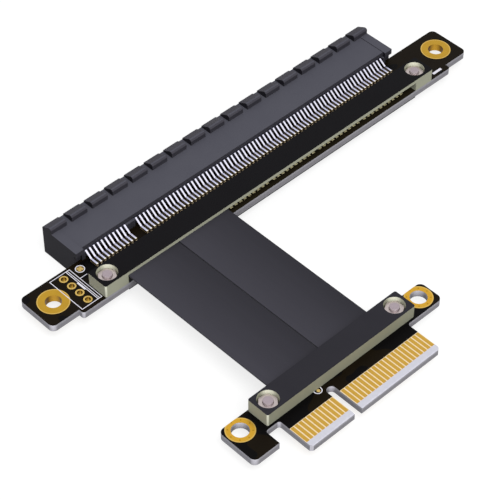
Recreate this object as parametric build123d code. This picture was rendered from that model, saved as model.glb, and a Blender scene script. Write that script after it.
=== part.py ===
"""Slot extension cable: an edge-mounted card slot joined to a card-edge plug by two flat ribbons.

Millimetres, +Z up. X runs along the slot, +Y is the way the slot opens.
The origin is under the middle of the part, on the surface that it lies on.
"""
import math
import os

from build123d import *

# Card-edge standard: the pitch of the contacts and the segments either side of the key
pitch = 1.0
pin_count_before_key = 11
slot_pin_count_after_key = 71
plug_pin_count_after_key = 21
pin_step_over_key = 3.0
key_width = 1.9
card_outer_margin = 1.1
slot_pin_shift = 0.2

# Boards
board_thickness = 1.6
board_end_beyond_housing = 13.9
slot_board_depth = 11.3
slot_ear_length = 6.6
slot_ear_setback = 1.3
plug_board_end_beyond_bar = 7.3
corner_radius = 1.2
notch_radius = 0.6
copper = 0.05

# Mount holes
slot_hole_from_end = 4.4
slot_hole_diameter = 3.3
slot_ring_diameter = 6.5
plug_hole_from_end = 3.15
plug_hole_diameter = 3.5
plug_ring_diameter = 5.75
plating = 0.1
small_round_sides = 18
header_sides = 12

# Plug tongue
plug_middle_from_ribbons = 14.0
shoulder_from_bar = 0.55
plug_ear_reach = 3.65
plug_ear_width = 6.25
tongue_length = 8.3
tongue_margin = 0.5
key_depth = 7.8
key_play = 0.05
bevel_length = 0.25
bevel_drop = 0.08
corner_chamfer = 0.5
finger_width = 0.7
finger_start = 2.7
finger_length = 4.2

# Slot housing
housing_end_from_contact = 3.0
housing_below_board = 2.2
housing_above_board = 2.9
housing_beyond_board = 9.5
card_gap = 1.8
mouth_wall = 1.6
mouth_chamfer = 0.4
rear_wall = 1.9
chamber_half_height = 2.6
chamber_side_play = 0.6
overhang_reach = 0.7
rim_height = 1.35
rim_depth = 2.8
rim_crest = 0.7
rim_mouth_height = 0.3
rim_rounding = 0.3
rim_blocks = 17
rim_block_length = 4.0
end_strip_width = 2.05
end_strip_height = 0.12
foot_height = 1.75
foot_reach = 0.5
key_foot_width = 2.3
end_foot_inset = 1.6
end_foot_width = 0.9

# Contacts
contact_width = 0.38
contact_thickness = 0.24
contact_exit_height = 1.8
contact_foot_height = 0.58
contact_heel_setback = 1.8
contact_toe_setback = 3.8
contact_bend_setback = 0.2
solder_fillet = 0.15
contact_slit_play = 0.06
contact_grip = 0.18
contact_tip_setback = 1.2

# Clamp bars
bar_height = 3.0
bar_depth = 5.3
bar_corner_radius = 0.4
bar_roof = 0.8
bar_wall = 0.8
slot_bar_from_board_end = 12.35
slot_bar_recess_offset = 0.3
plug_bar_beyond_ribbons = 6.35
screw_from_bar_end = 2.8
recess_from_screw = 2.65
screw_setback = 2.5
nut_pocket_play = 0.04
nut_pocket_floor = 0.58

# Screws and nuts
screw_diameter = 2.0
screw_clearance = 0.2
screw_end_above_nut = 0.5
nut_across_flats = 3.65
nut_thickness = 1.6
nut_chamfer = 0.15
nut_cone_sides = 18
head_diameter = 3.8
head_height = 1.3
head_chamfer = 0.4
head_socket_width = 1.7
head_socket_depth = 0.7

# Ribbons
ribbon_width = 13.0
ribbon_thickness = 0.45
ribbon_gap = 0.2
ribbon_side_play = 0.05
ribbon_hold = 1.2
cable_span = 38.75
conductors = 10
ribbon_edge = 0.25
conductor_width = 0.6
conductor_thickness = 0.25
conductor_lead = 0.25
conductor_drop_length = 0.85
conductor_foot = 1.1
cable_pad_length = 2.65
cable_pad_setback = 0.05
cable_pad_margin = 0.05

# Header, test pads and the strip under the slot board
header_pins = 4
header_pitch = 2.4
header_hole = 1.2
header_ring = 1.85
header_from_hole = 5.18
header_shift = 0.5
strip_thickness = 0.25
strip_depth = 6.0
test_pad_diameter = 1.4
test_pad_from_contact = 3.0
test_pad_from_back = 1.9

# Places worked out from the sizes above
overall_depth = (slot_board_depth + housing_beyond_board + cable_span + bar_depth
                 + shoulder_from_bar + tongue_length)
slot_front = overall_depth / 2 - slot_board_depth - housing_beyond_board
slot_back = slot_front + slot_board_depth
mouth = slot_back + housing_beyond_board
plug_back = slot_front - cable_span
plug_bar_front = plug_back - bar_depth
shoulder = plug_bar_front - shoulder_from_bar
tongue_tip = shoulder - tongue_length
board_under = housing_below_board
board_top = board_under + board_thickness
mid_height = board_under + board_thickness / 2
housing_top = board_top + housing_above_board
roof = board_top + bar_height - bar_roof
slot_hole_y = slot_back - (slot_board_depth - slot_ear_setback) / 2
plug_hole_y = plug_back - screw_setback
contact_field = (pin_count_before_key + slot_pin_count_after_key - 2) * pitch + pin_step_over_key
housing_length = contact_field + 2 * housing_end_from_contact
slot_board_length = housing_length + 2 * board_end_beyond_housing
slot_hole_spacing = slot_board_length - 2 * slot_hole_from_end
slot_bar_length = slot_board_length - 2 * slot_bar_from_board_end
slot_screw_spacing = slot_bar_length - 2 * screw_from_bar_end
slot_bar_recess = slot_screw_spacing - 2 * recess_from_screw
slot_pin_one = -contact_field / 2 - slot_pin_shift
plug_field = (pin_count_before_key + plug_pin_count_after_key - 2) * pitch + pin_step_over_key
tongue_width = plug_field + 2 * tongue_margin
key_offset = (pin_count_before_key - 1) * pitch + pin_step_over_key / 2
recess_left = slot_bar_recess_offset - slot_bar_recess / 2
recess_right = slot_bar_recess_offset + slot_bar_recess / 2
ribbon_start = recess_left + ribbon_side_play
ribbon_pitch = ribbon_width + ribbon_gap
ribbons_end = ribbon_start + ribbon_pitch + ribbon_width
ribbon_positions = int(slot_bar_recess / ribbon_pitch)
conductor_pitch = (ribbon_width - 2 * ribbon_edge) / conductors
plug_offset_x = ribbon_start + plug_middle_from_ribbons
plug_bar_length = ribbons_end - ribbon_start + 2 * plug_bar_beyond_ribbons
plug_screw_spacing = plug_bar_length - 2 * screw_from_bar_end
plug_board_length = plug_bar_length + 2 * plug_board_end_beyond_bar
plug_hole_spacing = plug_board_length - 2 * plug_hole_from_end
plug_pin_one = plug_offset_x - plug_field / 2
slot_jacket_end = slot_front + ribbon_hold
plug_jacket_end = plug_back - ribbon_hold
nut_corners = nut_across_flats / math.cos(math.radians(30))
nut_pocket_diameter = nut_corners + 2 * nut_pocket_play


def box(x0, x1, y0, y1, z0, z1):
    """A block between two corners."""
    return Pos((x0 + x1) / 2, (y0 + y1) / 2, (z0 + z1) / 2) * Box(x1 - x0, y1 - y0, z1 - z0)


def plate(points, z0, z1):
    """A flat plate of an outline seen from above."""
    face = make_face(Polyline(*points, close=True))
    return Pos(0, 0, z0) * extrude(face, z1 - z0)


def prism(points, x0, x1):
    """A bar along X of a section given as Y and Z."""
    face = Plane.YZ * make_face(Polyline(*points, close=True))
    return Pos(x0, 0, 0) * extrude(face, x1 - x0)


def disc(x, y, diameter, z0, z1):
    """An upright cylinder."""
    return Pos(x, y, (z0 + z1) / 2) * Cylinder(diameter / 2, z1 - z0)


def rod(x, y, diameter, z0, z1, sides):
    """An upright bar of many flat sides, for the small round things."""
    return Pos(x, y, z0) * extrude(RegularPolygon(diameter / 2, sides), z1 - z0)


def strip_outline(path, thickness):
    """The closed outline of a bent strip whose middle line is the path."""
    left, right = [], []
    for index, (y, z) in enumerate(path):
        before = path[max(index - 1, 0)]
        after = path[min(index + 1, len(path) - 1)]
        normals = []
        for start, end in ((before, (y, z)), ((y, z), after)):
            length = math.dist(start, end)
            if length > 0:
                normals.append(((start[1] - end[1]) / length, (end[0] - start[0]) / length))
        across = (sum(n[0] for n in normals), sum(n[1] for n in normals))
        size = math.hypot(*across)
        across = (across[0] / size, across[1] / size)
        reach = thickness / 2 / (across[0] * normals[0][0] + across[1] * normals[0][1])
        left.append((y + across[0] * reach, z + across[1] * reach))
        right.append((y - across[0] * reach, z - across[1] * reach))
    return left + right[::-1]


def pin_places(first, after_key):
    """The X of every contact in a row, either side of the key."""
    before = [first + index * pitch for index in range(pin_count_before_key)]
    start = before[-1] + pin_step_over_key
    return before + [start + index * pitch for index in range(after_key)]


def corners_at(part, x, y):
    """The upright edges at a corner seen from above."""
    near = 0.01
    return [edge for edge in part.edges().filter_by(Axis.Z)
            if abs(edge.center().X - x) < near and abs(edge.center().Y - y) < near]


def on_underside(solid):
    """The same thing on the other side of the boards' middle plane."""
    return mirror(solid, Plane.XY.offset(mid_height))


# Slot board, with its ears set back from the front edge
def header_places():
    """Centres of the header holes, in a row across the board."""
    x = -slot_hole_spacing / 2 + header_from_hole
    middle = slot_hole_y - header_shift
    return [(x, middle + (index - (header_pins - 1) / 2) * header_pitch) for index in range(header_pins)]


def make_slot_board():
    half = slot_board_length / 2
    step = half - slot_ear_length
    ear_front = slot_front + slot_ear_setback
    outline = [(-half, slot_back), (-half, ear_front), (-step, ear_front), (-step, slot_front),
               (step, slot_front), (step, ear_front), (half, ear_front), (half, slot_back)]
    board = plate(outline, board_under, board_top)
    outer = [edge for x in (-half, half) for y in (slot_back, ear_front) for edge in corners_at(board, x, y)]
    board = fillet(outer, corner_radius)
    steps = [edge for x in (-step, step) for edge in corners_at(board, x, slot_front)]
    board = fillet(steps, notch_radius)
    for x in (-slot_hole_spacing / 2, slot_hole_spacing / 2):
        board -= disc(x, slot_hole_y, slot_hole_diameter + 2 * plating, board_under, board_top)
    for x, y in slot_screws:
        board -= disc(x, y, screw_diameter + screw_clearance, board_under, board_top)
    for x, y in header_places():
        board -= rod(x, y, header_hole + 2 * plating, board_under, board_top, header_sides)
    return board


def eyelet(x, y, hole, ring):
    """The plating of a hole: a barrel with a ring of copper on each face."""
    sleeve = disc(x, y, hole + 2 * plating, board_under, board_top)
    sleeve += disc(x, y, ring, board_top, board_top + copper)
    sleeve += disc(x, y, ring, board_under - copper, board_under)
    return sleeve - disc(x, y, hole, board_under - 1, board_top + 1)


def header_eyelet(x, y):
    """The same for a header hole, in flat sides."""
    sleeve = rod(x, y, header_hole + 2 * plating, board_under, board_top, header_sides)
    sleeve += rod(x, y, header_ring, board_top, board_top + copper, header_sides)
    sleeve += rod(x, y, header_ring, board_under - copper, board_under, header_sides)
    return sleeve - rod(x, y, header_hole, board_under - 1, board_top + 1, header_sides)


def make_slot_test_pad():
    return rod(slot_pin_one - test_pad_from_contact, slot_back - test_pad_from_back,
               test_pad_diameter, board_top, board_top + copper, small_round_sides)


# Plug board, with a stepped ear, the card-edge tongue and its key
def make_plug_board():
    left = plug_offset_x - plug_board_length / 2
    right = plug_offset_x + plug_board_length / 2
    ear_right = left + plug_ear_width
    ear_front = shoulder - plug_ear_reach
    tongue_left = plug_offset_x - tongue_width / 2
    tongue_right = plug_offset_x + tongue_width / 2
    cut = corner_chamfer
    outline = [(left, plug_back), (left, ear_front), (ear_right, ear_front), (ear_right, shoulder),
               (tongue_left, shoulder), (tongue_left, tongue_tip + cut), (tongue_left + cut, tongue_tip),
               (tongue_right - cut, tongue_tip), (tongue_right, tongue_tip + cut),
               (tongue_right, shoulder), (right, shoulder), (right, plug_back)]
    board = plate(outline, board_under, board_top)
    outer = [edge for x, y in ((left, plug_back), (left, ear_front), (right, shoulder), (right, plug_back))
             for edge in corners_at(board, x, y)]
    board = fillet(outer, corner_radius)
    inner = [edge for x in (ear_right, tongue_left, tongue_right) for edge in corners_at(board, x, shoulder)]
    board = fillet(inner, notch_radius)
    key = plug_pin_one + key_offset
    slot_end = tongue_tip + key_depth - key_width / 2
    board -= box(key - key_width / 2, key + key_width / 2, tongue_tip - 1, slot_end, board_under, board_top)
    board -= disc(key, slot_end, key_width, board_under, board_top)
    for side in (-1, 1):
        face = mid_height + side * board_thickness / 2
        wedge = [(tongue_tip, face), (tongue_tip, face - side * bevel_drop), (tongue_tip + bevel_length, face)]
        board -= prism(wedge, tongue_left, tongue_right)
    for x in (-plug_hole_spacing / 2, plug_hole_spacing / 2):
        board -= disc(plug_offset_x + x, plug_hole_y, plug_hole_diameter, board_under, board_top)
    for x, y in plug_screws:
        board -= disc(x, y, screw_diameter + screw_clearance, board_under, board_top)
    return board


def make_plug_ring(x):
    """A copper ring round a mount hole, cut off at the board's back edge."""
    ring = disc(x, plug_hole_y, plug_ring_diameter, board_top, board_top + copper)
    ring -= disc(x, plug_hole_y, plug_hole_diameter, board_top, board_top + copper)
    reach = plug_ring_diameter
    return ring - box(x - reach, x + reach, plug_back, plug_back + reach, board_top, board_top + copper)


def make_fingers():
    """The contact fingers on the top of the tongue."""
    back = shoulder - finger_start
    return [box(x - finger_width / 2, x + finger_width / 2, back - finger_length, back,
                board_top, board_top + copper)
            for x in pin_places(plug_pin_one, plug_pin_count_after_key)]


# Slot housing: a moulded body on the board's edge, with the card gap and the contact chambers
def make_slot_housing():
    half = housing_length / 2
    overhang = slot_back - overhang_reach
    housing = box(-half, half, slot_back, mouth, 0, housing_top)
    for x0, x1 in ((-half, -half + end_strip_width), (half - end_strip_width, half)):
        housing += box(x0, x1, overhang, slot_back, board_top + foot_height, housing_top)
        housing += box(x0, x1, overhang, mouth, housing_top, housing_top + end_strip_height)
    rim_near = mouth - rim_depth
    rim_top = housing_top + rim_height
    rim = [(rim_near, housing_top), (rim_near, rim_top - rim_rounding), (rim_near + rim_rounding, rim_top),
           (rim_near + rim_crest, rim_top), (mouth, housing_top + rim_mouth_height), (mouth, housing_top)]
    rim_pitch = (housing_length - rim_block_length) / (rim_blocks - 1)
    for index in range(rim_blocks):
        start = -half + index * rim_pitch
        housing += prism(rim, start, start + rim_block_length)

    first, last = slot_pin_one, slot_pin_one + contact_field
    key = slot_pin_one + key_offset
    key_half = key_width / 2 - key_play
    floor = slot_back + rear_wall
    gap = card_gap / 2
    gap_section = [(floor, mid_height - gap), (mouth - mouth_chamfer, mid_height - gap),
                   (mouth, mid_height - gap - mouth_chamfer), (mouth, mid_height + gap + mouth_chamfer),
                   (mouth - mouth_chamfer, mid_height + gap), (floor, mid_height + gap)]
    outer = card_outer_margin + key_play
    for x0, x1 in ((first - outer, key - key_half), (key + key_half, last + outer)):
        housing -= prism(gap_section, x0, x1)
    inner_pins = ((first, first + (pin_count_before_key - 1) * pitch),
                  (last - (slot_pin_count_after_key - 1) * pitch, last))
    slope = contact_path()[2:]
    passage_section = strip_outline(slope, contact_thickness + 2 * contact_slit_play)
    for x0, x1 in inner_pins:
        x0 -= chamber_side_play
        x1 += chamber_side_play
        chamber = box(x0, x1, floor, mouth - mouth_wall, mid_height, mid_height + chamber_half_height)
        passage = prism(passage_section, x0, x1)
        for cut in (chamber, passage):
            housing -= cut
            housing -= on_underside(cut)

    inset = half - end_foot_inset - end_foot_width
    feet = ((-half + end_foot_inset, -inset), (key - key_foot_width / 2, key + key_foot_width / 2),
            (inset, half - end_foot_inset))
    for x0, x1 in feet:
        foot = box(x0, x1, slot_back - foot_reach, slot_back + foot_reach,
                   board_top, board_top + foot_height)
        housing += foot
        housing += on_underside(foot)
    return housing


# Contacts, each from its foot on the board through the rear wall to its tip in the card gap
def contact_path():
    foot = board_top + contact_foot_height
    tip = mid_height + card_gap / 2 - contact_grip + contact_thickness / 2
    return [(slot_back - contact_toe_setback, foot), (slot_back - contact_heel_setback, foot),
            (slot_back - contact_bend_setback, board_top + contact_exit_height),
            (mouth - mouth_wall - contact_tip_setback, tip)]


def make_contacts():
    """Contacts whose feet stand in solder, with a pointed tip in the card gap."""
    path = contact_path()
    strip = strip_outline(path, contact_thickness)
    solder = [(path[1][0] + solder_fillet, board_top), (path[0][0], board_top)]
    outline = strip[:3] + [path[3]] + strip[5:7] + solder
    first = prism(outline, -contact_width / 2, contact_width / 2)
    return [Pos(x, 0, 0) * first for x in pin_places(slot_pin_one, slot_pin_count_after_key)]


# Clamp bars: each is open below and on the ribbons' side, with a nut pocket at each end
def make_clamp_bar(x0, x1, front, recess, screws):
    bar = box(x0, x1, front, front + bar_depth, board_top, board_top + bar_height)
    bar = fillet(bar.edges().filter_by(Axis.Z), bar_corner_radius) - recess
    for x, y in screws:
        bar -= disc(x, y, nut_pocket_diameter, board_top + nut_pocket_floor, board_top + bar_height)
        bar -= disc(x, y, screw_diameter + screw_clearance, board_top, board_top + bar_height)
    return bar


def make_slot_clamp_bar():
    recess = box(recess_left, recess_right, slot_front, slot_front + bar_depth - bar_wall, board_top, roof)
    return make_clamp_bar(-slot_bar_length / 2, slot_bar_length / 2, slot_front, recess, slot_screws)


def make_plug_clamp_bar():
    recess = box(ribbon_start - ribbon_side_play, ribbons_end + ribbon_side_play,
                 plug_bar_front + bar_wall, plug_back, board_top, roof)
    return make_clamp_bar(plug_offset_x - plug_bar_length / 2, plug_offset_x + plug_bar_length / 2,
                          plug_bar_front, recess, plug_screws)


def make_nut(x, y, turn):
    """A hexagon nut, its upper corners broken by a cone."""
    nut = extrude(RegularPolygon(nut_corners / 2, 6), nut_thickness)
    chamfered = rod(0, 0, nut_corners, 0, nut_thickness, nut_cone_sides)
    chamfered = chamfer(chamfered.faces().sort_by(Axis.Z)[-1].edges(), nut_chamfer * 0.6, nut_chamfer)
    nut = (nut & chamfered) - disc(0, 0, screw_diameter, 0, nut_thickness)
    return Pos(x, y, board_top + nut_pocket_floor) * Rot(0, 0, turn) * nut


def make_screw(x, y):
    """A screw put in from below: a pan head with a hexagon socket, and a shank whose end stands over the nut."""
    top = board_top + nut_pocket_floor + nut_thickness + screw_end_above_nut
    shank = rod(x, y, screw_diameter, board_under, top, small_round_sides)
    head = rod(x, y, head_diameter, board_under - head_height, board_under, small_round_sides)
    head = chamfer(head.faces().sort_by(Axis.Z)[0].edges(), head_chamfer)
    socket = extrude(RegularPolygon(head_socket_width / 2, 6), head_socket_depth)
    return head + shank - Pos(x, y, board_under - head_height) * socket


# Ribbons, held at each end between the roof of a clamp bar and the bed under them
def make_ribbon(index):
    x0 = ribbon_start + index * ribbon_pitch
    return box(x0, x0 + ribbon_width, plug_jacket_end, slot_jacket_end, roof - ribbon_thickness, roof)


def make_bed(y0, y1):
    return box(ribbon_start, ribbons_end, y0, y1, board_top, roof - ribbon_thickness)


def conductor_places(index):
    """The X of each conductor of one ribbon position."""
    middle = ribbon_start + ribbon_width / 2 + index * ribbon_pitch
    return [middle + (number - (conductors - 1) / 2) * conductor_pitch for number in range(conductors)]


def make_conductors(end, direction):
    """Conductors that leave the end of both ribbons and come down to their pads."""
    high = roof - ribbon_thickness / 2
    low = board_top + copper + conductor_thickness / 2
    lengths = (0, conductor_lead, conductor_drop_length, conductor_foot)
    path = [(end + direction * sum(lengths[:count + 1]), height)
            for count, height in enumerate((high, high, low, low))]
    outline = strip_outline(path, conductor_thickness)
    return [prism(outline, x - conductor_width / 2, x + conductor_width / 2)
            for index in range(2) for x in conductor_places(index)]


def make_cable_pads(end, direction, positions):
    """Solder pads under a clamp bar, one row for each ribbon position."""
    near = end + direction * cable_pad_setback
    low, high = sorted((near, near + direction * cable_pad_length))
    half = conductor_width / 2 + cable_pad_margin
    return [box(x - half, x + half, low, high, board_top, board_top + copper)
            for index in range(positions) for x in conductor_places(index)]


slot_screws = [(x, slot_front + bar_depth - screw_setback) for x in (-slot_screw_spacing / 2, slot_screw_spacing / 2)]
plug_screws = [(plug_offset_x + x, plug_back - screw_setback)
               for x in (-plug_screw_spacing / 2, plug_screw_spacing / 2)]
contacts = make_contacts()
fingers = make_fingers()

nodes = {
    "slot_board": make_slot_board(),
    "slot_hole_plating": [eyelet(x, slot_hole_y, slot_hole_diameter, slot_ring_diameter)
                          for x in (-slot_hole_spacing / 2, slot_hole_spacing / 2)],
    "header_plating": [header_eyelet(x, y) for x, y in header_places()],
    "slot_test_pad": make_slot_test_pad(),
    "slot_housing": make_slot_housing(),
    "upper_contacts": contacts,
    "lower_contacts": [on_underside(contact) for contact in contacts],
    "slot_clamp_bar": make_slot_clamp_bar(),
    "slot_bar_nuts": [make_nut(x, y, turn) for (x, y), turn in zip(slot_screws, (0, 20))],
    "slot_bar_screws": [make_screw(x, y) for x, y in slot_screws],
    "slot_cable_pads": make_cable_pads(slot_jacket_end, 1, ribbon_positions),
    "slot_conductors": make_conductors(slot_jacket_end, 1),
    "slot_cable_bed": make_bed(slot_front, slot_jacket_end),
    "underside_strip": box(recess_left, recess_right, slot_front, slot_front + strip_depth,
                           board_under - strip_thickness, board_under),
    "ribbon_left": make_ribbon(0),
    "ribbon_right": make_ribbon(1),
    "plug_board": make_plug_board(),
    "plug_hole_rings": [make_plug_ring(plug_offset_x + x)
                        for x in (-plug_hole_spacing / 2, plug_hole_spacing / 2)],
    "upper_fingers": fingers,
    "lower_fingers": [on_underside(finger) for finger in fingers],
    "plug_clamp_bar": make_plug_clamp_bar(),
    "plug_bar_nuts": [make_nut(x, y, turn) for (x, y), turn in zip(plug_screws, (48, 30))],
    "plug_bar_screws": [make_screw(x, y) for x, y in plug_screws],
    "plug_cable_pads": make_cable_pads(plug_jacket_end, -1, 2),
    "plug_conductors": make_conductors(plug_jacket_end, -1),
    "plug_cable_bed": make_bed(plug_jacket_end, plug_back),
}

os.makedirs("parts", exist_ok=True)
for name, shape in nodes.items():
    solids = shape if isinstance(shape, list) else [shape]
    shape = Compound(children=solids) if len(solids) > 1 else solids[0]
    shape.label = name
    export_step(shape, f"parts/{name}.step")
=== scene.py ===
import math

import bmesh
import bpy
from mathutils import Matrix, Vector


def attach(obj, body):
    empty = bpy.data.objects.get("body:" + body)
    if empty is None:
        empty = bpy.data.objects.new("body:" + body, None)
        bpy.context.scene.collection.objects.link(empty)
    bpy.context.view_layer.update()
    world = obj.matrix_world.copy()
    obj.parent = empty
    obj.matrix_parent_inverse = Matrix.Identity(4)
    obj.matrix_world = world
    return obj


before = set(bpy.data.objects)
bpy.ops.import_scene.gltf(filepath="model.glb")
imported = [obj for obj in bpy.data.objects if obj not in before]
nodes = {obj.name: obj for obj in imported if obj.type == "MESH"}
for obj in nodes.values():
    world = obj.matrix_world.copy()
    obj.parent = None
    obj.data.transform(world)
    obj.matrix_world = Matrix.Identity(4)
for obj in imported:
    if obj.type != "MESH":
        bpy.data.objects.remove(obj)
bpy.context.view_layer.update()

MM = 0.001

# Places in the part's frame and sizes, all in millimetres. A ring is its inner and outer radius.
# Heights
board_top = 3.8
board_middle = 3.0
edge_highlight_from = board_top - 0.5
ink_top = board_top + 0.02
copper_top = board_top + 0.05
via_cap_top = copper_top + 0.01
over_copper = copper_top + 0.015
solder_from_middle = board_top - board_middle + 0.42
# The slot end: contacts, mount holes, the clamp bar's open mouth, the header's printed frame and the test pad
contact_toe, toe_highlight_length, tip_length = 23.55, 0.3, 0.1
slot_hole_x, slot_hole_y, slot_ring_radius = 54.0, 22.35, 3.25
bar_mouth_half, bar_mouth_back = 41.0, 20.55
header_left, header_right, header_near, header_far = -51.37, -46.29, 16.93, 26.78
slot_pad_x, slot_pad_y, slot_pad_ring = -44.7, 25.45, (0.82, 1.0)
mask_spot_offset, mask_spot_radius = 0.56, 0.13
# The ribbons
ribbon_left_edge, ribbon_pitch = -40.25, 13.2
# The plug end: mount holes, the vias in their rings, the test pad by the bar, and the tongue
plug_middle_x, plug_hole_x, plug_hole_y, plug_ring_radius = -26.25, 23.6, -25.2, 2.875
via_offset, via_radius = 2.33, 0.15
plug_bar_front = -28.0
plug_pad_x, plug_pad_y, plug_pad_radius = -33.1, plug_bar_front - 0.42, 0.36
plug_pad_ring, plug_pad_ring_setback = (0.72, 0.9), 0.22
mask_line, finger_ends = -31.13, -35.4
tongue_left, tongue_right = -43.45, -9.05
# Widths and spacings
line_width = 0.15
ring_rim_width = 0.2
mask_wave_spacing, jacket_wave_spacing = 3.1416, 7.854


def colour(code):
    """An sRGB hex value as the linear colour that a socket takes."""
    parts = [int(code[index:index + 2], 16) / 255 for index in (1, 3, 5)]
    linear = [part / 12.92 if part <= 0.04045 else ((part + 0.055) / 1.055) ** 2.4 for part in parts]
    return (*linear, 1.0)


def per_mm(size):
    """The texture scale that makes a feature this many millimetres across."""
    return 1 / (size * MM)


def add(tree, kind, inputs=None, **settings):
    """One shader node; each input is a number, a vector, a hex colour or the socket that feeds it."""
    node = tree.nodes.new(kind)
    for name, value in settings.items():
        setattr(node, name, value)
    for name, value in (inputs or {}).items():
        if isinstance(value, bpy.types.NodeSocket):
            tree.links.new(value, node.inputs[name])
        else:
            node.inputs[name].default_value = colour(value) if isinstance(value, str) else value
    return node


def surface(name, **values):
    """A material with one Principled shader, whose constant sockets are set here."""
    material = bpy.data.materials.new(name)
    material.use_nodes = True
    tree = material.node_tree
    shader = tree.nodes["Principled BSDF"]
    for key, value in values.items():
        shader.inputs[key.replace("_", " ")].default_value = value
    return material, tree, shader, add(tree, "ShaderNodeTexCoord")


def dress(tree, shader, base, height, strength, depth):
    """The base colour, and bump from a height socket, with its depth in millimetres."""
    tree.links.new(base, shader.inputs["Base Color"])
    bump = add(tree, "ShaderNodeBump", {"Height": height, "Strength": strength, "Distance": depth * MM})
    tree.links.new(bump.outputs[0], shader.inputs["Normal"])


def sums(tree, operation, first, second=0.0, clamp=False):
    """The result of one sum; each side is a number or a socket."""
    return add(tree, "ShaderNodeMath", {0: first, 1: second}, operation=operation, use_clamp=clamp).outputs[0]


def mix(tree, factor, first, second):
    """Two colours mixed; each is a hex value or a socket."""
    return add(tree, "ShaderNodeMix", {0: factor, 6: first, 7: second}, data_type="RGBA").outputs[2]


def noise(tree, place, size, detail=3.0, stretch=(1, 1, 1)):
    """Noise whose patches are this many millimetres across."""
    spread = add(tree, "ShaderNodeMapping", {"Vector": place.outputs["Object"], "Scale": stretch})
    return add(tree, "ShaderNodeTexNoise", {"Vector": spread.outputs[0], "Scale": per_mm(size), "Detail": detail,
                                            "Roughness": 0.55}).outputs[0]


def waves(tree, place, spacing):
    """Soft waves along the part's length, this many millimetres from crest to crest."""
    cycles_at_scale_one = 20 / math.tau
    inputs = {"Vector": place.outputs["Object"], "Scale": per_mm(spacing) / cycles_at_scale_one, "Distortion": 0.0}
    return add(tree, "ShaderNodeTexWave", inputs, bands_direction="X").outputs[1]


def split(tree, place, output):
    """The three parts of the object place or of the face's direction."""
    return add(tree, "ShaderNodeSeparateXYZ", {0: place.outputs[output]}).outputs


def below(tree, socket, limit):
    """One where a place lies below a limit in millimetres."""
    return sums(tree, "LESS_THAN", socket, limit * MM)


def above(tree, socket, limit):
    """One where a place lies above a limit in millimetres."""
    return sums(tree, "GREATER_THAN", socket, limit * MM)


def within(tree, socket, low, high):
    """One where a place lies between two limits in millimetres."""
    return sums(tree, "MULTIPLY", above(tree, socket, low), below(tree, socket, high))


def facing_up(tree, place, limit=0.85):
    """One on faces that look up or down, nought on upright faces and broken edges."""
    upright = sums(tree, "ABSOLUTE", split(tree, place, "Normal")["Z"])
    return sums(tree, "GREATER_THAN", upright, limit)


def end_faces_for_painted_shading(tree, place, limit=0.75):
    """One on upright faces that look along the part's length, so that an end can be painted lighter or darker as
    painted shading.
    """
    aside = sums(tree, "ABSOLUTE", split(tree, place, "Normal")["X"])
    return sums(tree, "GREATER_THAN", aside, limit)


def painted_corner_highlight(tree, place):
    """Nought on flat sides, up to one half-way round a corner between two sides, where a highlight is painted."""
    parts = split(tree, place, "Normal")
    turn = sums(tree, "MULTIPLY", parts["X"], parts["Y"])
    return sums(tree, "MULTIPLY", turn, 2.0, clamp=True)


def bar_mouth_painted_light(tree, place, where, mask):
    """The slot board's mask, whose copper is painted a lighter brown in the clamp bar's mouth as painted light,
    where the bar's roof shades it.
    """
    opening = sums(tree, "MULTIPLY", within(tree, where["X"], -bar_mouth_half, bar_mouth_half),
                   below(tree, where["Y"], bar_mouth_back))
    # Painted light: the mask in the bar's mouth is lightened where the roof's shadow falls
    return mix(tree, opening, mask, "#262116")


def bare_tongue(tree, place, where, mask):
    """The plug board's mask, and its bare tongue: cream between the fingers and pale grey past their ends."""
    beyond = sums(tree, "MULTIPLY", within(tree, where["X"], tongue_left, tongue_right),
                  below(tree, where["Y"], mask_line))
    weave = noise(tree, place, 0.8)
    strip = mix(tree, weave, "#d0d0dc", "#dedee9")
    between = mix(tree, weave, "#f4dfb6", "#fceac6")
    tongue = mix(tree, above(tree, where["Y"], finger_ends), strip, between)
    return mix(tree, beyond, mask, tongue)


def circuit_board(name, pour_share, finish_face):
    """Glass-epoxy laminate under black solder mask: near-black faces, browner where copper lies under them.

    The routed edges are bare laminate, pale grey with fine upright cutter marks, with painted highlight: paler at
    their ends, along their upper strip and at the corners.
    """
    material, tree, shader, place = surface(name, Roughness=0.45, IOR=1.5, Specular_IOR_Level=0.05)
    where = split(tree, place, "Object")
    pour = sums(tree, "GREATER_THAN", noise(tree, place, 6.0, detail=0.5), pour_share)
    copper = mix(tree, noise(tree, place, 2.5), "#120c05", "#19130a")
    face = finish_face(tree, place, where, mix(tree, pour, "#070607", copper))
    cuts = noise(tree, place, 0.3, stretch=(1, 1, 0.05))
    front = mix(tree, cuts, "#8c8a90", "#a09ea4")
    # Painted light: edges that face along the length are painted paler
    edge = mix(tree, end_faces_for_painted_shading(tree, place), front, mix(tree, cuts, "#97969e", "#adacb4"))
    # Painted highlight: the upper strip of the edge is painted paler, where light catches it
    edge_highlight = sums(tree, "MULTIPLY", above(tree, where["Z"], edge_highlight_from), 0.3)
    edge = mix(tree, edge_highlight, edge, "#d2d1da")
    # Painted highlight half-way round the edge's corners
    edge = mix(tree, painted_corner_highlight(tree, place), edge, "#e2e0ea")
    base = mix(tree, facing_up(tree, place, 0.94), edge, face)
    # Copper under the mask raises it in faint waves
    dress(tree, shader, base, waves(tree, place, mask_wave_spacing), 0.1, 0.02)
    return material


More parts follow.
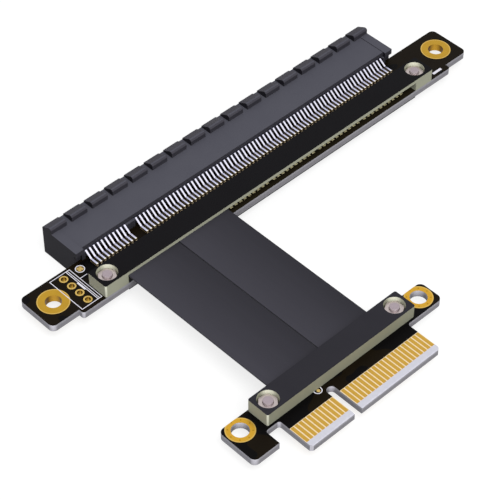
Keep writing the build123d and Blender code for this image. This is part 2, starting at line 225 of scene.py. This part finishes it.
def moulded_housing():
    """Glass-filled nylon, moulded: charcoal with a faint violet cast and spark-eroded grain.

    The upright walls are painted darker as painted shade, the ends darkest.
    """
    material, tree, shader, place = surface("moulded_nylon_housing", Roughness=0.5, IOR=1.5,
                                            Specular_IOR_Level=0.04)
    cloud = noise(tree, place, 6.0)
    # Painted shade: the rim's blocks slope down to the mouth, and the slope is painted darker, as it takes less
    # light
    slope = mix(tree, cloud, "#45434b", "#4b4a51")
    top = mix(tree, facing_up(tree, place, 0.95), slope, mix(tree, cloud, "#53535d", "#5a5a63"))
    # Painted shade: upright walls darker than the top, and the ends darker still
    wall = mix(tree, cloud, "#39383f", "#414047")
    end = mix(tree, cloud, "#242329", "#29282e")
    wall = mix(tree, end_faces_for_painted_shading(tree, place), wall, end)
    base = mix(tree, facing_up(tree, place, 0.5), wall, top)
    dress(tree, shader, base, noise(tree, place, 0.25, detail=2.0), 0.15, 0.02)
    return material


def clamp_bar(name, side_dark, side_light, end, top_dark, top_light):
    """Moulded bar: olive-grey plastic with a dark upper face; its ends have a painted tone of their own for light
    and shade, and its corners a painted highlight.
    """
    material, tree, shader, place = surface(name, Roughness=0.45, IOR=1.5, Specular_IOR_Level=0.05)
    cloud = noise(tree, place, 5.0)
    # Painted shading: the ends take a tone of their own for light and shade
    side = mix(tree, end_faces_for_painted_shading(tree, place), mix(tree, cloud, side_dark, side_light), end)
    # Painted highlight half-way round the corners
    side = mix(tree, painted_corner_highlight(tree, place), side, "#f6f7e2")
    base = mix(tree, facing_up(tree, place), side, mix(tree, cloud, top_dark, top_light))
    dress(tree, shader, base, noise(tree, place, 0.2, detail=2.0), 0.1, 0.02)
    return material


def ribbon_jacket():
    """Extruded PVC over parallel wires: charcoal and satin, each ribbon darker towards its right edge."""
    material, tree, shader, place = surface("extruded_pvc_ribbon", Roughness=0.5, IOR=1.53,
                                            Specular_IOR_Level=0.07)
    along = sums(tree, "SUBTRACT", split(tree, place, "Object")["X"], ribbon_left_edge * MM)
    across = sums(tree, "FRACT", sums(tree, "MULTIPLY", along, per_mm(ribbon_pitch)))
    streaks = noise(tree, place, 1.2, stretch=(1, 0.03, 1))
    light = mix(tree, streaks, "#414048", "#45444c")
    dark = mix(tree, streaks, "#2f2e34", "#323138")
    # The wires under it leave faint waves in the jacket
    base = mix(tree, across, light, dark)
    dress(tree, shader, base, waves(tree, place, jacket_wave_spacing), 0.08, 0.05)
    return material


def ring_rim_highlight(tree, place, middle, offset, height, radius):
    """One in a band inside the outer edge of two equal rings, at the same offset either side of a middle, where a
    highlight is painted.
    """
    where = split(tree, place, "Object")
    aside = sums(tree, "ABSOLUTE", sums(tree, "SUBTRACT", where["X"], middle * MM))
    aside = sums(tree, "POWER", sums(tree, "SUBTRACT", aside, offset * MM), 2.0)
    along = sums(tree, "POWER", sums(tree, "SUBTRACT", where["Y"], height * MM), 2.0)
    away = sums(tree, "SQRT", sums(tree, "ADD", aside, along))
    return above(tree, away, radius - ring_rim_width)


def plated(name, dark, light, rough, size, wall=None, rim=None, metal=1.0):
    """A plated metal whose tone shifts a little from patch to patch.

    Its upright walls can take painted shade with a painted highlight half-way round a corner, and its rings a
    painted highlight in a band inside their outer edge.
    """
    material, tree, shader, place = surface(name, Metallic=metal, Roughness=rough)
    base = mix(tree, noise(tree, place, size), dark, light)
    if rim:
        # Painted highlight: a pale band along the rings' outer rim
        base = mix(tree, ring_rim_highlight(tree, place, *rim), base, "#dab662")
    if wall:
        # Painted shade on upright walls, with a painted highlight half-way round them
        base = mix(tree, facing_up(tree, place), mix(tree, painted_corner_highlight(tree, place), *wall), base)
    dress(tree, shader, base, noise(tree, place, 0.12, detail=2.0), 0.08, 0.01)
    return material


def tinned_contacts():
    """Tin over phosphor bronze, stamped and formed: white and bright, with tan solder round the feet."""
    material, tree, shader, place = surface("bright_tin_on_bronze", Metallic=1.0, Roughness=0.3)
    where = split(tree, place, "Object")
    face = facing_up(tree, place, 0.8)
    tone = noise(tree, place, 0.6)
    leg = mix(tree, tone, "#dfdef2", "#f2f1fd")
    # Painted shade: the flat feet a darker lavender than the legs
    foot = mix(tree, tone, "#cdcde6", "#dadaf1")
    # Painted highlight: a white band just behind the toe's tan tip
    foot = mix(tree, below(tree, where["Y"], contact_toe + toe_highlight_length), foot, "#ffffff")
    foot = mix(tree, below(tree, where["Y"], contact_toe + tip_length), foot, "#f4dcb2")
    height = sums(tree, "ABSOLUTE", sums(tree, "SUBTRACT", where["Z"], board_middle * MM))
    upright = sums(tree, "SUBTRACT", 1.0, face)
    soldered = sums(tree, "MULTIPLY", below(tree, height, solder_from_middle), upright)
    # Solder: tan, painted paler on faces toward the front as painted light, and darker on faces along the length
    # as painted shade
    solder = mix(tree, end_faces_for_painted_shading(tree, place), mix(tree, tone, "#f2dab0", "#ffe8c2"), "#8a7858")
    base = mix(tree, soldered, mix(tree, face, leg, foot), solder)
    # Reflowed solder is dull, so it reflects less of the dark gap beside it
    shine = sums(tree, "SUBTRACT", 1.0, sums(tree, "MULTIPLY", soldered, 0.85))
    tree.links.new(shine, shader.inputs["Metallic"])
    dress(tree, shader, base, noise(tree, place, 0.12, detail=2.0), 0.06, 0.01)
    return material


def plain(name, dark, light, rough, size, grain, level=0.3):
    """A non-metal with a two-tone mottle and a fine grain, sizes in millimetres."""
    material, tree, shader, place = surface(name, Roughness=rough, IOR=1.5, Specular_IOR_Level=level)
    base = mix(tree, noise(tree, place, size), dark, light)
    dress(tree, shader, base, noise(tree, place, grain, detail=2.0), 0.12, 0.02)
    return material


slot_laminate = circuit_board("solder_masked_laminate", 0.38, bar_mouth_painted_light)
plug_laminate = circuit_board("solder_masked_plug_laminate", 0.5, bare_tongue)
housing_plastic = moulded_housing()
slot_bar_plastic = clamp_bar("moulded_slot_bar", "#aeaf9a", "#b8b9a4", "#b2b3a0", "#0f0e11", "#131215")
plug_bar_plastic = clamp_bar("moulded_plug_bar", "#959683", "#9e9f8b", "#b4b5a2", "#2d2c32", "#323137")
jacket = ribbon_jacket()
# Electroless gold over nickel on copper: warm yellow with a soft shine. The slot rings' barrels take painted shade
# with a painted highlight half-way round, and both sets of rings a painted highlight along their outer rim
slot_ring_gold = plated("immersion_gold_slot_rings", "#b68e2f", "#c49b35", 0.35, 2.0,
                        wall=("#6a4a10", "#cc9d38"), rim=(0.0, slot_hole_x, slot_hole_y, slot_ring_radius))
plug_ring_gold = plated("immersion_gold_plug_rings", "#cb9c33", "#d8a83a", 0.35, 2.0,
                        rim=(plug_middle_x, plug_hole_x, plug_hole_y, plug_ring_radius))
# The header's barrels: painted shade, with a painted highlight half-way round
header_gold = plated("immersion_gold_header_rings", "#cfae5e", "#d9b96a", 0.35, 1.0,
                     wall=("#5e430e", "#cea43c"))
# The same gold on the small pads, paler and duller
pad_gold = plated("immersion_gold_test_pad", "#dfbc66", "#efd087", 0.45, 0.5, metal=0.3)
# Hard gold on the fingers: yellow, and a little smoother than the rings
finger_gold = plated("hard_gold_fingers", "#c69c40", "#d0a548", 0.32, 1.0)
tin = tinned_contacts()
# Tin on the bare conductor ends: white and bright
bare_tin = plated("bright_tin_on_copper", "#dddbf0", "#efeefc", 0.3, 0.6)
# Tinned pads, reflowed: pale straw and dull, painted near-white as painted light where the clamp bars shade them
solder_pad = plain("tinned_copper_pad", "#f8ecb2", "#fff6c8", 0.4, 0.6, 0.2)
# Nickel on the nuts: warm grey and satin
nickel = plated("nickel_plated_steel_nut", "#bbb0af", "#c6bbba", 0.4, 1.2)
# Passivated steel, turned: mauve-grey and satin; its sides are painted lighter as painted light, nearly as light
# as its end, with a paler painted highlight half-way round
screw_metal = plated("passivated_steel_screw", "#a4969d", "#afa1a8", 0.5, 0.8,
                     wall=("#b5a8ae", "#d6cad0"), metal=0.35)
# Foam rubber, cut: dull and nearly black
foam = plain("cut_foam_rubber", "#121212", "#1c1c1c", 0.85, 1.0, 0.3, 0.1)
# Polyimide film with a black adhesive face: flat black
film = plain("black_insulating_film", "#0e0e0f", "#161617", 0.55, 2.0, 0.3, 0.15)
# Epoxy marking ink, screen-printed: clean white with a slight tooth
ink = plain("screen_printed_ink", "#eceafa", "#faf9ff", 0.6, 1.0, 0.15)
# Solder mask over a filled hole: the ring's gold, duller
via_cap = plated("tented_via_cap", "#a87f22", "#b58a28", 0.5, 0.5)
# Mask that comes up between the arms of the test pad: near-black
mask_spot = plain("solder_mask_spot", "#15110a", "#1d1810", 0.45, 0.5, 0.1, 0.1)

finishes = {
    "slot_board": slot_laminate, "plug_board": plug_laminate, "slot_housing": housing_plastic,
    "slot_clamp_bar": slot_bar_plastic, "plug_clamp_bar": plug_bar_plastic,
    "ribbon_left": jacket, "ribbon_right": jacket,
    "slot_hole_plating": slot_ring_gold, "plug_hole_rings": plug_ring_gold,
    "header_plating": header_gold, "slot_test_pad": pad_gold,
    "upper_fingers": finger_gold, "lower_fingers": finger_gold,
    "upper_contacts": tin, "lower_contacts": tin, "slot_conductors": bare_tin, "plug_conductors": bare_tin,
    "slot_cable_pads": solder_pad, "plug_cable_pads": solder_pad,
    "slot_bar_nuts": nickel, "plug_bar_nuts": nickel,
    "slot_bar_screws": screw_metal, "plug_bar_screws": screw_metal,
    "slot_cable_bed": foam, "plug_cable_bed": foam, "underside_strip": film,
}
for node_name, finish in finishes.items():
    for holder in nodes[node_name].material_slots:
        holder.material = finish

# Moulded, routed and turned edges are broken by these many millimetres, so that they catch the light
edge_breaks = {"slot_housing": 0.1, "slot_clamp_bar": 0.13, "plug_clamp_bar": 0.13,
               "slot_board": 0.12, "plug_board": 0.12, "ribbon_left": 0.1, "ribbon_right": 0.1,
               "slot_bar_nuts": 0.08, "plug_bar_nuts": 0.08, "slot_bar_screws": 0.08, "plug_bar_screws": 0.08}
for node_name, width in edge_breaks.items():
    node = nodes[node_name]
    weld = node.modifiers.new("joined_facets", "WELD")
    weld.merge_threshold = 0.002 * MM
    bevel = node.modifiers.new("broken_edges", "BEVEL")
    bevel.width = width * MM
    bevel.segments = 2
    bevel.limit_method = "ANGLE"
    bevel.angle_limit = math.radians(40)


def keep(name, mesh, material):
    """A finished piece, on the part's only body."""
    bmesh.ops.recalc_face_normals(mesh, faces=mesh.faces)
    data = bpy.data.meshes.new(name)
    mesh.to_mesh(data)
    mesh.free()
    data.materials.append(material)
    piece = bpy.data.objects.new(name, data)
    bpy.context.scene.collection.objects.link(piece)
    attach(piece, "root")


def block(mesh, x0, x1, y0, y1, z0, z1):
    """A block between two corners, in millimetres."""
    size = Matrix.Diagonal(((x1 - x0) * MM, (y1 - y0) * MM, (z1 - z0) * MM, 1))
    centre = Matrix.Translation(Vector((x0 + x1, y0 + y1, z0 + z1)) * MM / 2)
    bmesh.ops.create_cube(mesh, size=1, matrix=centre @ size)


def hoop(mesh, x, y, radii, z0, z1, start=0.0, sweep=math.tau, steps=40):
    """A flat printed ring between two radii, or the part of one from a start angle on."""
    inner, outer = radii
    turn = Vector((math.cos(start), math.sin(start)))
    corners = [mesh.verts.new(Vector((x + radius * turn.x, y + radius * turn.y, z)) * MM)
               for radius, z in ((inner, z0), (outer, z0), (outer, z1), (inner, z1))]
    section = mesh.faces.new(corners)
    whole = sweep >= math.tau
    bmesh.ops.spin(mesh, geom=[section, *section.edges, *section.verts], angle=sweep, steps=steps,
                   axis=(0, 0, 1), cent=Vector((x, y, 0)) * MM, use_merge=whole)
    if whole and section.is_valid:
        bmesh.ops.delete(mesh, geom=[section], context="FACES_ONLY")


def disc(mesh, x, y, radius, z0, z1, segments=16):
    """A flat round spot."""
    place = Matrix.Translation(Vector((x, y, (z0 + z1) / 2)) * MM)
    bmesh.ops.create_cone(mesh, cap_ends=True, segments=segments, radius1=radius * MM, radius2=radius * MM,
                          depth=(z1 - z0) * MM, matrix=place)


def around(x, y, radius, count):
    """Places evenly round a centre."""
    angles = [math.tau * step / count for step in range(count)]
    return [(x + radius * math.cos(angle), y + radius * math.sin(angle)) for angle in angles]


# Printed marks on the slot board: the header's frame, whose left side crosses the hole's ring, its two thin lines
# and the short thick one, the tie to the test pad with its ring, and the pin mark by the right nut
marks = bmesh.new()
block(marks, header_left, header_left + line_width, header_near, header_far, board_top, over_copper)
inner_near, inner_far = header_near + line_width, header_far - line_width
printed = {
    "near_side": (header_left + line_width, header_right, header_near, inner_near),
    "far_side": (header_left + line_width, header_right, inner_far, header_far),
    "right_side": (header_right - line_width, header_right, inner_near, inner_far),
    "right_line": (-46.99, -46.84, inner_near, inner_far),
    "left_line": (-47.36, -47.2, inner_near, inner_far),
    "thick_line": (-47.62, -47.36, 20.58, 23.0),
    "pad_tie": (header_right, -44.55, 23.42, 23.57),
    "pin_mark": (47.58, 50.13, 16.9, 17.5),
}
for corners in printed.values():
    block(marks, *corners, board_top, ink_top)
hoop(marks, slot_pad_x, slot_pad_y, slot_pad_ring, board_top, ink_top)
# The plug board's ring runs on under the bar, so only the part in front of it is printed
hidden = math.asin(plug_pad_ring_setback / plug_pad_ring[1])
hoop(marks, plug_pad_x, plug_bar_front - plug_pad_ring_setback, plug_pad_ring, board_top, ink_top,
     start=math.pi - hidden, sweep=math.pi + 2 * hidden, steps=24)
keep("printed_marks", marks, ink)

# Mask between the four arms of the slot board's test pad, and the plug board's own pad by the bar
spots = bmesh.new()
for x, y in around(slot_pad_x, slot_pad_y, mask_spot_offset, 4):
    disc(spots, x, y, mask_spot_radius, copper_top, over_copper)
keep("test_pad_mask", spots, mask_spot)
pad = bmesh.new()
disc(pad, plug_pad_x, plug_pad_y, plug_pad_radius, board_top, copper_top)
keep("plug_test_pad", pad, pad_gold)

# Filled holes in the copper rings of the plug board
vias = bmesh.new()
for hole_x in (plug_middle_x - plug_hole_x, plug_middle_x + plug_hole_x):
    for x, y in around(hole_x, plug_hole_y, via_offset, 8):
        disc(vias, x, y, via_radius, copper_top, via_cap_top, segments=12)
keep("ring_vias", vias, via_cap)

# Floor and backdrop: pale, and white where the camera or a reflection sees it
floor_reach, floor_drop, floor_glow, ambient = 3.0, 0.02, 0.78, 0.45
floor_mesh = bmesh.new()
bmesh.ops.create_grid(floor_mesh, x_segments=1, y_segments=1, size=floor_reach,
                      matrix=Matrix.Translation((0, 0, -floor_drop * MM)))
floor_data = bpy.data.meshes.new("floor")
floor_mesh.to_mesh(floor_data)
floor_mesh.free()
floor = bpy.data.objects.new("floor", floor_data)
bpy.context.scene.collection.objects.link(floor)


def seen_directly(tree):
    """One where the camera, a reflection or a refraction sees the surface."""
    path = add(tree, "ShaderNodeLightPath").outputs
    seen = sums(tree, "MAXIMUM", path["Is Camera Ray"], path["Is Glossy Ray"])
    return sums(tree, "MAXIMUM", seen, path["Is Transmission Ray"])


# Matt floor, pale grey for shadows to fall on, that glows towards the camera
floor_material = bpy.data.materials.new("pale_floor")
floor_material.use_nodes = True
tree = floor_material.node_tree
tree.nodes.clear()
matt = add(tree, "ShaderNodeBsdfDiffuse", {"Color": "#969696"})
glow = add(tree, "ShaderNodeEmission",
           {"Color": "#ffffff", "Strength": sums(tree, "MULTIPLY", seen_directly(tree), floor_glow)})
both = add(tree, "ShaderNodeAddShader", {0: matt.outputs[0], 1: glow.outputs[0]})
add(tree, "ShaderNodeOutputMaterial", {"Surface": both.outputs[0]})
floor_data.materials.append(floor_material)

world = bpy.data.worlds.new("studio")
world.use_nodes = True
tree = world.node_tree
tree.nodes.clear()
level = sums(tree, "ADD", sums(tree, "MULTIPLY", seen_directly(tree), 1 - ambient), ambient)
back = add(tree, "ShaderNodeBackground", {"Color": "#ffffff", "Strength": level})
add(tree, "ShaderNodeOutputWorld", {"Surface": back.outputs[0]})
scene = bpy.context.scene
scene.world = world


def lamp(name, place, size, power):
    """A soft square lamp, aimed at the middle of the part."""
    data = bpy.data.lights.new(name, "AREA")
    data.shape = "SQUARE"
    data.size = size
    data.energy = power
    light = bpy.data.objects.new(name, data)
    light.location = place
    light.rotation_euler = Vector(place).to_track_quat("Z", "Y").to_euler()
    scene.collection.objects.link(light)


lamp("overhead", (-0.15, -0.4, 0.8), 0.6, 4.6)
lamp("front_fill", (-0.5, -0.75, 0.3), 0.5, 1.3)

# Camera, from the fit of the photograph's contacts, holes and edges
camera_data = bpy.data.cameras.new("camera")
camera_data.sensor_width = 36
camera_data.lens = 142.33
camera_data.clip_start = 0.01
camera = bpy.data.objects.new("camera", camera_data)
azimuth, elevation = math.radians(-43.744), math.radians(45.845)
back_vector = Vector((math.sin(azimuth) * math.cos(elevation), -math.cos(azimuth) * math.cos(elevation),
                      math.sin(elevation)))
camera.location = Vector((-204.14, -188.95, 282.16)) * MM
camera.rotation_euler = back_vector.to_track_quat("Z", "Y").to_euler()
scene.collection.objects.link(camera)
scene.camera = camera
scene.view_settings.view_transform = "Standard"
